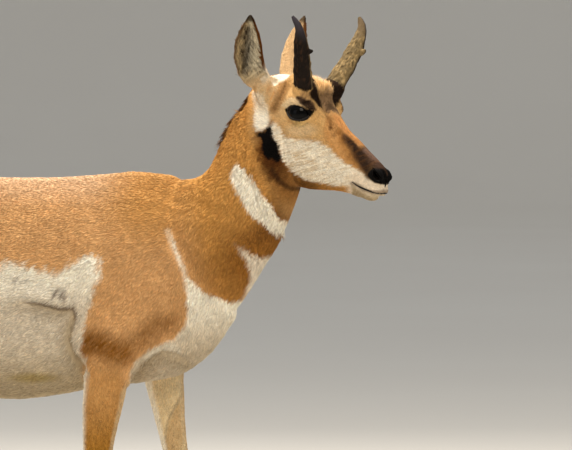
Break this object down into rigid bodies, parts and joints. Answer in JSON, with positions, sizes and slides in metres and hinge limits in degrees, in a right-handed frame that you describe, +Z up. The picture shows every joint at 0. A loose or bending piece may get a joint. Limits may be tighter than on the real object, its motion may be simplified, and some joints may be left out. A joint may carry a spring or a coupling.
{
  "type": "pronghorn model",
  "caption": "Life-size still model of a standing young pronghorn buck with its head turned to its right, short hooked horns, upright cupped ears and cloven hooves",
  "frame": {"origin": "bottom centre of the bounding box, on the floor midway along and across the animal", "axes": "+X points forward along the body, +Y to the animal's left, +Z up; the head turns to -Y"},
  "size_m": [1.2507, 0.2835, 1.1192],
  "materials": {
    "coat": "short dense matt hair, tan above and cream white below",
    "eye": "wet gloss, near black",
    "horn": "rough dark horn sheath, smoother grey tip",
    "hoof": "satin dark horn"
  },
  "bodies": {
    "root": {"torso": "coat", "neck": "coat", "head": "coat", "tail": "coat", "ear_left": "coat", "ear_right": "coat", "eye_left": "eye", "eye_right": "eye", "horn_left": "horn", "horn_right": "horn", "foreleg_left_upper": "coat", "foreleg_left_lower": "coat", "foreleg_left_hoof_inner": "hoof", "foreleg_left_hoof_outer": "hoof", "foreleg_right_upper": "coat", "foreleg_right_lower": "coat", "foreleg_right_hoof_inner": "hoof", "foreleg_right_hoof_outer": "hoof", "hindleg_left_upper": "coat", "hindleg_left_lower": "coat", "hindleg_left_hoof_inner": "hoof", "hindleg_left_hoof_outer": "hoof", "hindleg_right_upper": "coat", "hindleg_right_lower": "coat", "hindleg_right_hoof_inner": "hoof", "hindleg_right_hoof_outer": "hoof"}
  },
  "joints": []
}
